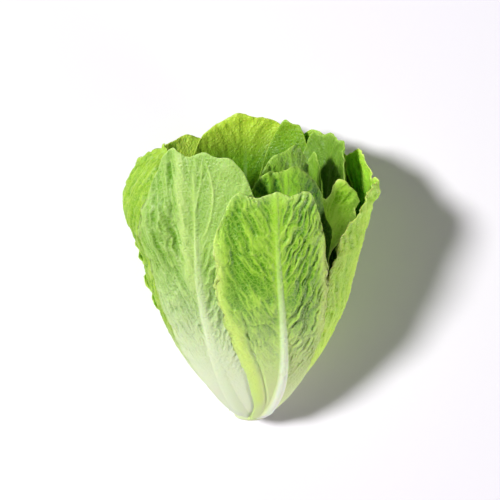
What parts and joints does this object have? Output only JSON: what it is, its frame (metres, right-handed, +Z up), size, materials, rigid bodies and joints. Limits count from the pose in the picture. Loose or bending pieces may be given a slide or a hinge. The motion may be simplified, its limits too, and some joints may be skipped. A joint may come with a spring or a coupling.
{
  "type": "romaine lettuce head",
  "caption": "Head of romaine lettuce as cut, lying on its side: long overlapping ribbed leaves round a short stem that is cut flat.",
  "frame": {"origin": "on the surface that the head lies on, under the middle of its outline seen from above", "axes": "+Y from the cut stem towards the leaf tips, +Z up from the surface, +X across the head"},
  "size_m": [0.2089, 0.2732, 0.1789],
  "materials": {
    "cut_stem": "satin",
    "heart_leaf": "satin",
    "inner_leaf": "satin",
    "outer_leaf": "satin"
  },
  "bodies": {
    "root": {"stem": "cut_stem", "leaf_heart_1": "heart_leaf", "leaf_heart_2": "heart_leaf", "leaf_heart_3": "heart_leaf", "leaf_heart_4": "heart_leaf", "leaf_heart_5": "heart_leaf", "leaf_heart_6": "heart_leaf", "leaf_inner_rear_left": "inner_leaf", "leaf_inner_left": "inner_leaf", "leaf_inner_crinkled": "inner_leaf", "leaf_inner_rear_right": "inner_leaf", "leaf_folded_tip": "inner_leaf", "leaf_inner_front": "inner_leaf", "leaf_rear_fold": "inner_leaf", "leaf_right_margin": "inner_leaf", "leaf_rear_right": "outer_leaf", "leaf_rear": "outer_leaf", "leaf_rear_left": "outer_leaf", "leaf_left": "outer_leaf", "leaf_right": "outer_leaf", "leaf_front_left": "outer_leaf", "leaf_belly_left": "outer_leaf", "leaf_belly_right": "outer_leaf", "leaf_front": "outer_leaf"}
  },
  "joints": []
}
